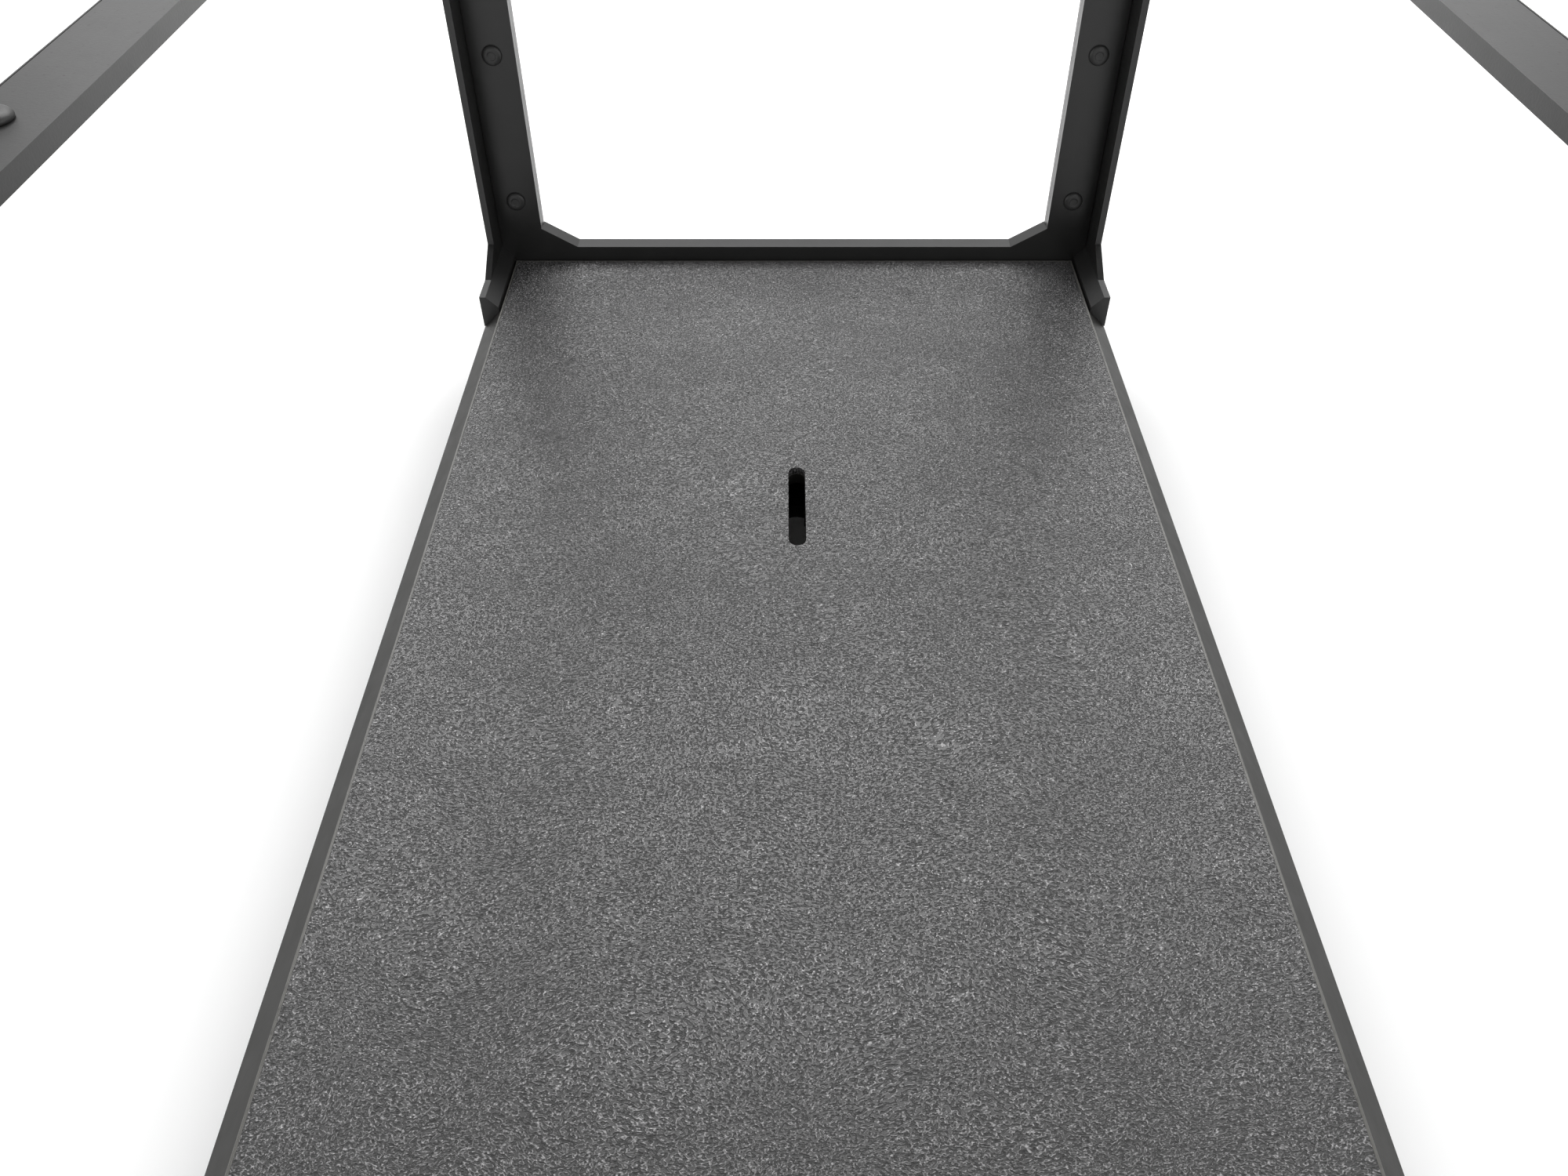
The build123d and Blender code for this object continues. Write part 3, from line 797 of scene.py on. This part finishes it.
def threaded(work, minor, major, pitch, top, bottom, segments):
    """Add a threaded skin, open at both ends: its radius follows a helix from top to bottom."""
    rows = max(2, math.ceil((top - bottom) / pitch * THREAD_ROWS))
    rings = []
    for row in range(rows + 1):
        height = top + (bottom - top) * row / rows
        fade = max(0, min(1, (height - bottom) / pitch, (top - height) / pitch))
        radii = []
        for index in range(segments):
            phase = ((top - height) / pitch + index / segments) % 1
            crest = min(1, (1 - abs(2 * phase - 1)) * THREAD_STEEPNESS)
            radii.append(minor + (major - minor) * crest * fade)
        rings.append(ring(work, radii, height))
    skin(work, rings)


def threaded_piece(name, above, below, major, pitch, segments):
    """A closed piece with a thread between two profiles. The first goes from the axis down to the
    thread's top, at its root, and the second from the thread's bottom back to the axis."""
    work = bmesh.new()
    lathe(work, above, segments)
    threaded(work, above[-1][0], major, pitch, above[-1][1], below[0][1], segments)
    lathe(work, below, segments)
    return closed(work, name)


def closed(work, name):
    """An object from parts that meet edge to edge, welded, with its faces outward."""
    bmesh.ops.remove_doubles(work, verts=work.verts, dist=WELD / 4)
    bmesh.ops.recalc_face_normals(work, faces=work.faces)
    return object_from(work, name)


def turning(name, profile, segments=ROUND_SEGMENTS):
    """A closed piece turned round the pivot's axis."""
    return closed(lathe(bmesh.new(), profile, segments), name)


def screw_model(name, radius, length, pitch):
    """A countersunk screw with a cross recess, its face at 0 and its point up at length."""
    head_radius = radius * SCREW_HEAD
    root = radius * SCREW_ROOT
    cone = head_radius - radius
    rim = 0.06 * MM
    above = [(0, length), (radius * 0.25, length - radius * 0.1), (root, length - radius * 0.9)]
    below = [(root, cone), (head_radius - rim / 2, rim * 2), (head_radius, rim)]
    below += [(head_radius - rim, 0), (0, 0)]
    screw = threaded_piece(name, above, below, radius, pitch, SCREW_SEGMENTS)
    return smooth(cut(screw, cross_tool(name + "_cross", head_radius, cone)))


def cross_tool(name, head_radius, head_height):
    """The cross that a driver fits: two crossing blades that taper into the head."""
    deep = (head_radius * 0.45, head_radius * 0.16, head_height * 0.72)
    face = (head_radius * 1.15, head_radius * 0.24, -0.2 * MM)
    work = bmesh.new()
    for turn in (0, 90):
        blade = bmesh.ops.create_cube(work, size=1)["verts"]
        for vertex in blade:
            width, thickness, height = deep if vertex.co.z > 0 else face
            vertex.co = (vertex.co.x * width, vertex.co.y * thickness, height)
        across = Matrix.Rotation(math.radians(turn), 3, "Z")
        bmesh.ops.rotate(work, verts=blade, cent=(0, 0, 0), matrix=across)
    blades = object_from(work, name)
    return cut(blades, object_from(bmesh.new(), name + "_none"), "UNION", crossing=True)


# ---- the operators, one for each piece or group of like pieces ----


class StandFrames(bpy.types.Operator):
    """Dress the canopy's five window frames"""

    bl_idname = "stand.frames"
    bl_label = "Window frames"

    def execute(self, context):
        looks = context.scene.stand_canopy
        face = moulded_black("canopy_moulding", looks.plastic, looks.roughness, looks.spark_grain)
        edge = paler_edge_black("canopy_worn_edge", looks.plastic, looks.roughness)
        for node in FRAMES:
            radius = looks.roof_edge_radius if node == "top_frame" else looks.edge_radius
            piece = eased(bench_copy(node, node + "_moulding"), radius, [face, edge])
            keep(piece, "canopy", "canopy_plastic", node)
        return {"FINISHED"}


class StandRivets(bpy.types.Operator):
    """Set the push rivets of the canopy's corners and roof"""

    bl_idname = "stand.rivets"
    bl_label = "Rivets"

    def execute(self, context):
        looks = context.scene.stand_canopy
        # The rivets' paler colour is in part a painted highlight.
        finish = moulded_black(
            "rivet_moulding", looks.rivet_plastic, looks.rivet_roughness, looks.spark_grain
        )
        tree = rivet_tree()
        roof_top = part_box("top_frame")[1].z
        for corner in CORNERS:
            node = "rivets_" + corner
            side = 1 if corner.startswith("back") else -1
            turn = (-side * math.pi / 2, 0, 0)
            places = []
            for low, high in islands(node):
                middle = (low + high) / 2
                inner = low.y if side > 0 else high.y
                places.append((middle.x, inner + side * looks.rivet_head_height, middle.z))
            size = high - low
            self.rivet_set(
                tree, node, places, size.z / 2, looks.rivet_head_height, size.y, turn, finish, looks
            )
        for rail in RAILS:
            node = "roof_rivets_" + rail
            places = []
            for low, high in islands(node):
                middle = (low + high) / 2
                places.append((middle.x, middle.y, roof_top))
            size = high - low
            self.rivet_set(
                tree, node, places, size.x / 2, high.z - roof_top, size.z, (math.pi, 0, 0), finish,
                looks,
            )
        return {"FINISHED"}

    def rivet_set(self, tree, node, places, head_radius, head_height, length, turn, finish, looks):
        """One rivet on each place. The grip is what the head and the tail leave of the length."""
        piece = tree.run(
            node + "_set", places, Head_radius=head_radius, Head_height=head_height,
            Dimple=looks.rivet_dimple, Shank_radius=looks.rivet_shank_radius,
            Grip=length - head_height - looks.rivet_tail_height,
            Tail_radius=looks.rivet_tail_radius, Tail_height=looks.rivet_tail_height,
            Segments=looks.rivet_segments, Turn=turn, Finish=finish,
        )
        keep(smooth(piece, angle=50), "canopy", "rivet_plastic", node)


class StandDeck(bpy.types.Operator):
    """Lay the leather-grained deck panel"""

    bl_idname = "stand.deck"
    bl_label = "Deck panel"

    def execute(self, context):
        looks = context.scene.stand_plinth
        grain = leather_grain(
            "deck_leather_grain", looks.deck, looks.grain_size, looks.grain_stretch,
            looks.grain_depth,
        )
        sheet = bench_copy("deck_panel", "deck_panel_sheet")
        self.press_in(sheet, looks.deck_stretch)
        piece = eased(sheet, looks.deck_edge_radius, [grain])
        keep(piece, "deck", "deck_grain", "deck_panel")
        return {"FINISHED"}

    def press_in(self, sheet, stretch):
        """Spread the sheet's rim until it all but meets the plinth's lip."""
        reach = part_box("deck_panel")[1]
        for vertex in sheet.data.vertices:
            for axis in (0, 1):
                if abs(vertex.co[axis]) > reach[axis] - WELD:
                    vertex.co[axis] += math.copysign(stretch, vertex.co[axis])


class StandPlinth(bpy.types.Operator):
    """Dress the plinth's bevelled shell and its base plate"""

    bl_idname = "stand.plinth"
    bl_label = "Plinth"

    def execute(self, context):
        looks = context.scene.stand_plinth
        face = moulded_black(
            "plinth_moulding", looks.plastic, looks.roughness, looks.spark_grain, looks.shine
        )
        # The plinth's edges and lip are made paler: a painted highlight, with some wear.
        edge = paler_edge_black("plinth_worn_edge", looks.plastic, looks.edge_roughness, looks.edge_highlight_and_wear)
        for node in ("plinth_shell", "base_plate"):
            moulding = bench_copy(node, node + "_moulding")
            self.highlight_rim(moulding)
            piece = eased(moulding, looks.edge_radius, [face, edge])
            keep(piece, "deck", "plinth_plastic", node)
        return {"FINISHED"}

    def highlight_rim(self, moulding):
        """Give the topmost faces, on the shell the lip round the deck, the paler edge finish: a
        painted highlight along the lip, with some wear.
        """
        top = max(vertex.co.z for vertex in moulding.data.vertices)
        for face in moulding.data.polygons:
            if face.normal.z > 0.99 and face.center.z > top - WELD:
                face.material_index = 1


class StandFoot(bpy.types.Operator):
    """Dress the weighted foot plate and its four rubber feet"""

    bl_idname = "stand.foot"
    bl_label = "Foot"

    def execute(self, context):
        looks = context.scene.stand_foot
        coat = powder_coat("foot_powder_coat", looks.powder_coat)
        plate = bench_copy("foot_plate", "foot_plate_coated")
        plate = eased(plate, looks.plate_edge_radius, [coat], segments=2)
        keep(plate, "foot", "plate_steel", "foot_plate")
        rubber = foot_rubber("foot_rubber", looks.rubber)
        for corner in CORNERS:
            self.rubber_foot("rubber_foot_" + corner, rubber)
        return {"FINISHED"}

    def rubber_foot(self, node, rubber):
        """A stick-on foot: a rounded pad with a moulded ring and a dimple below."""
        low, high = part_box(node)
        middle = (low + high) / 2
        radius = (high.x - low.x) / 2
        ease = 0.5 * MM
        groove = 0.35 * MM
        profile = [(0, high.z), (radius - ease, high.z)]
        profile += arc(radius - ease, high.z - ease, ease, 90, 0, 4)[1:]
        profile += arc(radius - 2 * ease, 2 * ease, 2 * ease, 0, -90, 6)
        profile += [(radius * 0.72, 0), (radius * 0.69, groove), (radius * 0.6, groove)]
        profile += [(radius * 0.57, 0), (radius * 0.3, 0)]
        profile += [(radius * 0.26, 0.25 * MM), (radius * 0.1, 0.6 * MM), (0, 0.65 * MM)]
        piece = object_from(
            lathe(bmesh.new(), profile, FOOT_SEGMENTS, (middle.x, middle.y)), node + "_pad"
        )
        piece.data.materials.append(rubber)
        keep(smooth(piece, angle=40), "foot", "rubber", node)


class StandBearing(bpy.types.Operator):
    """Build the ball bearing's races, cage and balls"""

    bl_idname = "stand.bearing"
    bl_label = "Ball bearing"

    def execute(self, context):
        looks = context.scene.stand_foot
        steel = plated_steel("race_plating", looks.zinc, 0.3, turned=True)
        for node, body in (("lower_race", "foot"), ("upper_race", "deck")):
            race = bench_copy(node, node + "_pressed")
            race = eased(race, looks.race_edge_radius, [steel], segments=2)
            keep(race, body, "race_steel", node)
        nylon = natural_nylon("cage_nylon", looks.nylon)
        cage = bench_copy("ball_cage", "ball_cage_moulding")
        cage = eased(cage, looks.cage_edge_radius, [nylon], segments=2)
        keep(cage, "bearing", "cage_plastic", "ball_cage")
        low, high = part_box("bearing_balls")
        radius = (high.z - low.z) / 2
        balls = ball_tree().run(
            "bearing_balls_set", [(0, 0, 0)], Count=len(islands("bearing_balls")),
            Circle_radius=high.x - radius, Ball_radius=radius, Height=(low.z + high.z) / 2,
            Finish=bearing_steel("ball_steel"),
        )
        keep(smooth(balls, angle=60), "bearing", "ball_steel", "bearing_balls")
        return {"FINISHED"}


class StandPivot(bpy.types.Operator):
    """Build the pivot: bolt, nuts, washer and bush"""

    bl_idname = "stand.pivot"
    bl_label = "Pivot"

    def execute(self, context):
        looks = context.scene.stand_foot
        zinc = plated_steel("pivot_plating", looks.zinc, 0.34)
        nylon = natural_nylon("bush_nylon", looks.nylon)
        bolt = self.bolt("pivot_bolt_threaded", looks, 0)
        jam_nut = self.nut("jam_nut", "jam_nut_cut", looks)
        lock_nut = self.nut("lock_nut", "lock_nut_cut", looks, collar=True)
        for piece, node in (
            (bolt, "pivot_bolt"), (jam_nut, "jam_nut"), (lock_nut, "lock_nut"),
            (self.washer("thrust_washer_stamped", looks), "thrust_washer"),
        ):
            piece.data.materials.append(zinc)
            keep(smooth(piece), "foot", "zinc_steel", node)
        lock_nut.data.materials.append(nylon)
        self.mark_insert(lock_nut, looks)
        bush = self.bush("pivot_bush_turned", looks)
        bush.data.materials.append(nylon)
        keep(smooth(bush), "deck", "bush_plastic", "pivot_bush")
        return {"FINISHED"}

    def bolt(self, name, looks, growth):
        """The socket-head bolt, or with some growth the tool that cuts its thread in a nut."""
        low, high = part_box("pivot_bolt")
        head = high.x
        radius = looks.pivot_radius + growth
        root = radius - THREAD_DEPTH * looks.thread_pitch
        under = low.z + looks.pivot_head_height
        soft = 0.3 * MM
        slope = 0.9 * MM
        above = [(0, high.z), (root - soft, high.z), (root, high.z - soft)]
        below = [(root, under + soft), (radius, under + soft / 2), (radius + soft / 2, under)]
        below += arc(head - soft, under - soft, soft, 90, 0, 4)
        below += [(head, low.z + slope), (head - slope * 0.9, low.z + slope * 0.1)]
        below += [(head - slope, low.z), (0, low.z)]
        bolt = threaded_piece(name, above, below, radius, looks.thread_pitch, THREAD_SEGMENTS)
        if growth:
            return bolt
        deep = low.z + looks.pivot_head_height / 2
        across = looks.pivot_socket_radius
        socket = [(0, deep + soft * 2), (across, deep), (across, low.z - slope), (0, low.z - slope)]
        return cut(bolt, turning(name + "_socket", socket, 6))

    def nut(self, node, name, looks, collar=False):
        """A six-sided nut with bevelled corners and a cut thread, with a collar on a lock nut."""
        low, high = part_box(node)
        corner, flat = high.x, high.y
        fall = (corner - flat) * math.tan(math.radians(NUT_SLOPE))
        shoulder = high.z - (high.z - low.z) * COLLAR_SHARE if collar else high.z
        six_sided = [(0, shoulder), (corner, shoulder), (corner, low.z), (0, low.z)]
        rounded = [(0, shoulder), (flat, shoulder), (corner, shoulder - fall)]
        rounded += [(corner, low.z + fall), (flat, low.z), (0, low.z)]
        nut = cut(turning(name, six_sided, 6), turning(name + "_barrel", rounded), "INTERSECT")
        if collar:
            nut = cut(nut, self.collar(name, looks, shoulder, high.z, flat), "UNION")
        nut = cut(nut, self.bolt(name + "_thread", looks, looks.running_fit))
        mouth = looks.pivot_radius + 2 * looks.running_fit
        for height, away in ((low.z, -mouth), (high.z, mouth)):
            sink = [(0, height + away), (2 * mouth, height + away), (0, height - away)]
            if away < 0:
                sink.reverse()
            nut = cut(nut, turning(name + "_sink", sink, THREAD_SEGMENTS))
        return nut

    def collar(self, name, looks, shoulder, top, flat):
        """The rolled collar that holds a lock nut's insert."""
        rolled = 0.5 * MM
        groove = 0.15 * MM
        outer = flat * 0.9
        inner = looks.pivot_radius + 2 * rolled
        face = top - groove
        profile = [(0, face), (inner - groove, face), (inner - groove / 2, top - 3 * groove)]
        profile += [(inner, face), (inner + groove, top)]
        profile += arc(outer - rolled, top - rolled, rolled, 90, 0, 6)
        profile += [(outer, shoulder - groove), (0, shoulder - groove)]
        return turning(name + "_collar", profile)

    def mark_insert(self, nut, looks):
        """Give the faces inside the collar the nylon finish."""
        low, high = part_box("lock_nut")
        reach = looks.pivot_radius + 0.85 * MM
        bottom = high.z - (high.z - low.z) * 0.25
        for face in nut.data.polygons:
            centre = face.center
            if centre.z > bottom and math.hypot(centre.x, centre.y) < reach:
                face.material_index = 1

    def washer(self, name, looks):
        """A stamped washer: its upper edges rolled over, its lower ones crisp."""
        low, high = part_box("thrust_washer")
        bore = looks.pivot_radius + 2 * looks.running_fit
        roll = (high.z - low.z) * 0.3
        burr = (high.z - low.z) * 0.06
        profile = arc(high.x - roll, high.z - roll, roll, 90, 0, 5)
        profile += [(high.x, low.z + burr), (high.x - burr, low.z), (bore + burr, low.z)]
        profile += [(bore, low.z + burr)] + arc(bore + roll, high.z - roll, roll, 180, 90, 5)
        return turning(name, [*profile, profile[0]])

    def bush(self, name, looks):
        """The flanged bush, with a lead-in at each end of its bore."""
        low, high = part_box("pivot_bush")
        bore = looks.pivot_radius + looks.running_fit
        outer = bore + looks.bush_wall
        under = high.z - looks.bush_flange
        ease = 0.25 * MM
        profile = arc(high.x - ease, high.z - ease, ease, 90, 0, 4)
        profile += arc(high.x - ease, under + ease, ease, 0, -90, 4)
        profile += [(outer, under), (outer, low.z + ease), (outer - ease, low.z)]
        profile += [(bore + ease, low.z), (bore, low.z + ease)]
        profile += [(bore, high.z - ease), (bore + ease, high.z)]
        return turning(name, [*profile, profile[0]])


class StandScrews(bpy.types.Operator):
    """Drive the screws of the base plate and the two races"""

    bl_idname = "stand.screws"
    bl_label = "Screws"

    def execute(self, context):
        looks = context.scene.stand_foot
        zinc = plated_steel("screw_plating", looks.zinc, 0.3)
        tree = screw_tree()
        for node, body, up in (
            ("base_plate_screws", "deck", True),
            ("upper_race_screws", "deck", True),
            ("lower_race_screws", "foot", False),
        ):
            boxes = islands(node)
            low, high = boxes[0]
            radius = (high.x - low.x) / 2 / SCREW_HEAD
            screw = screw_model(node + "_model", radius, high.z - low.z, looks.screw_pitch)
            places = []
            for low, high in boxes:
                middle = (low + high) / 2
                places.append((middle.x, middle.y, low.z if up else high.z))
            piece = tree.run(
                node + "_set", places, Screw=screw, Seed=looks.screw_turn_seed,
                Tilt=(0 if up else math.pi, 0, 0), Finish=zinc,
            )
            discard(screw)
            keep(smooth(piece, angle=40), body, "zinc_steel", node)
        return {"FINISHED"}


class StandStudio(bpy.types.Operator):
    """Set up the floor, the soft lights, the background and the camera"""

    bl_idname = "stand.studio"
    bl_label = "Studio"

    def execute(self, context):
        looks = context.scene.stand_studio
        self.floor(looks)
        self.world(context.scene, looks)
        self.lamps()
        self.camera(context.scene, looks)
        context.scene.view_settings.view_transform = "Standard"
        return {"FINISHED"}

    def floor(self, looks):
        """A square floor that reaches past what is in view."""
        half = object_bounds()[1]
        work = bmesh.new()
        bmesh.ops.create_grid(work, x_segments=1, y_segments=1, size=looks.floor_size / 2)
        floor = object_from(work, "studio_floor")
        finish = Finish("studio_floor", **{"Specular IOR Level": 0.1, "Emission Strength": 1.0})
        cloud = finish.noise(0.4, 2.0)
        parts = finish.parts(finish.place)
        # The floor glows only where it is seen or mirrored, and more with distance from the
        # stand, so that it ends in white and keeps the stand's shadow.
        beside = (parts.out("X").size() - half.x).at_least(parts.out("Y").size() - half.y)
        glare = beside.ramp(-0.01, 0.0) * 0.12 + beside.ramp(0.0, 0.05) * 0.28
        glare = glare + beside.ramp(0.05, 0.5) * 0.6
        base = finish.tone(cloud, times(looks.floor_colour, 0.99), looks.floor_colour)
        rays = finish.node("ShaderNodeLightPath")
        seen = rays.out("Is Camera Ray").at_least(rays.out("Is Glossy Ray"))
        seen = seen.at_least(rays.out("Is Transmission Ray"))
        glow = finish.tone(seen * glare, (0, 0, 0), (1, 1, 1))
        floor.data.materials.append(
            finish.done(Base_Color=base, Roughness=0.7 + cloud * 0.1, Emission_Color=glow)
        )
        floor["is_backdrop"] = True

    def world(self, scene, looks):
        """Soft light from all round, with a background that is white where it is seen."""
        world = bpy.data.worlds.new("studio_world")
        scene.world = world
        world.use_nodes = True
        bench = Bench(world.node_tree)
        bench.tree.nodes.clear()
        rays = bench.node("ShaderNodeLightPath")
        clear = rays.out("Is Camera Ray").at_least(rays.out("Is Transmission Ray"))
        rise = bench.parts(bench.node("ShaderNodeTexCoord").out("Generated")).out("Z")
        # What shiny surfaces mirror is white near the horizon and darker overhead.
        wall = 1 - rise.ramp(0.25, 0.37) * 0.7 - rise.ramp(0.37, 0.46) * 0.15
        shine = rays.out("Is Glossy Ray") * (wall - looks.soft_light)
        strength = (looks.soft_light + shine).at_least(clear)
        light = bench.node("ShaderNodeBackground", None, {0: (1, 1, 1, 1), 1: strength}).out()
        bench.node("ShaderNodeOutputWorld", None, {"Surface": light})

    def lamps(self):
        """A window behind the stand and three weak fills, all turned to its middle."""
        target = Vector((0, 0, 0.05))
        for name, place, size, power in (
            ("window_light", (0, 1.1, 1.25), (1.8, 1.1), 25),
            ("left_fill", (-1.3, 0.1, 0.8), (1.0, 1.0), 5),
            ("right_fill", (1.3, 0.1, 0.8), (1.0, 1.0), 4),
            ("front_fill", (0.8, -1.2, 0.9), (1.0, 1.0), 5),
        ):
            light = bpy.data.lights.new(name, "AREA")
            light.shape = "RECTANGLE"
            light.size, light.size_y = size
            light.energy = power
            lamp = added(name, light)
            lamp.location = place
            lamp.rotation_euler = (target - Vector(place)).to_track_quat("-Z", "Y").to_euler()

    def camera(self, scene, looks):
        """The camera looks along the deck from above its near end."""
        data = bpy.data.cameras.new("stand_camera")
        data.lens = looks.lens
        data.clip_start = 0.005
        camera = added("stand_camera", data)
        deck_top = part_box("deck_panel")[1].z
        camera.location = Vector(looks.camera_place) + Vector((0, 0, deck_top))
        camera.rotation_euler = (math.pi / 2 - looks.camera_pitch, 0, 0)
        scene.camera = camera


# ---- panel and registration ----

OPERATORS = (
    StandStudio, StandDeck, StandPlinth, StandFrames, StandRivets, StandFoot, StandBearing,
    StandPivot, StandScrews,
)
SETTINGS = {
    "stand_canopy": StandCanopySettings,
    "stand_plinth": StandPlinthSettings,
    "stand_foot": StandFootSettings,
    "stand_studio": StandStudioSettings,
}


class StandPanel(bpy.types.Panel):
    """The stand's operators and settings"""

    bl_idname = "VIEW3D_PT_stand"
    bl_label = "Turntable stand"
    bl_space_type = "VIEW_3D"
    bl_region_type = "UI"
    bl_category = "Stand"

    def draw(self, context):
        for operator in OPERATORS:
            self.layout.operator(operator.bl_idname)
        for name, settings in SETTINGS.items():
            box = self.layout.box()
            for key in settings.__annotations__:
                box.prop(getattr(context.scene, name), key)


def register():
    for settings in SETTINGS.values():
        bpy.utils.register_class(settings)
    for name, settings in SETTINGS.items():
        setattr(bpy.types.Scene, name, PointerProperty(type=settings))
    for operator in OPERATORS:
        bpy.utils.register_class(operator)
    bpy.utils.register_class(StandPanel)


def unregister():
    bpy.utils.unregister_class(StandPanel)
    for operator in reversed(OPERATORS):
        bpy.utils.unregister_class(operator)
    for name, settings in SETTINGS.items():
        delattr(bpy.types.Scene, name)
        bpy.utils.unregister_class(settings)


def main():
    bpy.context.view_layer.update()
    register()
    for operator in OPERATORS:
        group, name = operator.bl_idname.split(".")
        getattr(getattr(bpy.ops, group), name)()


if __name__ == "__main__":
    main()
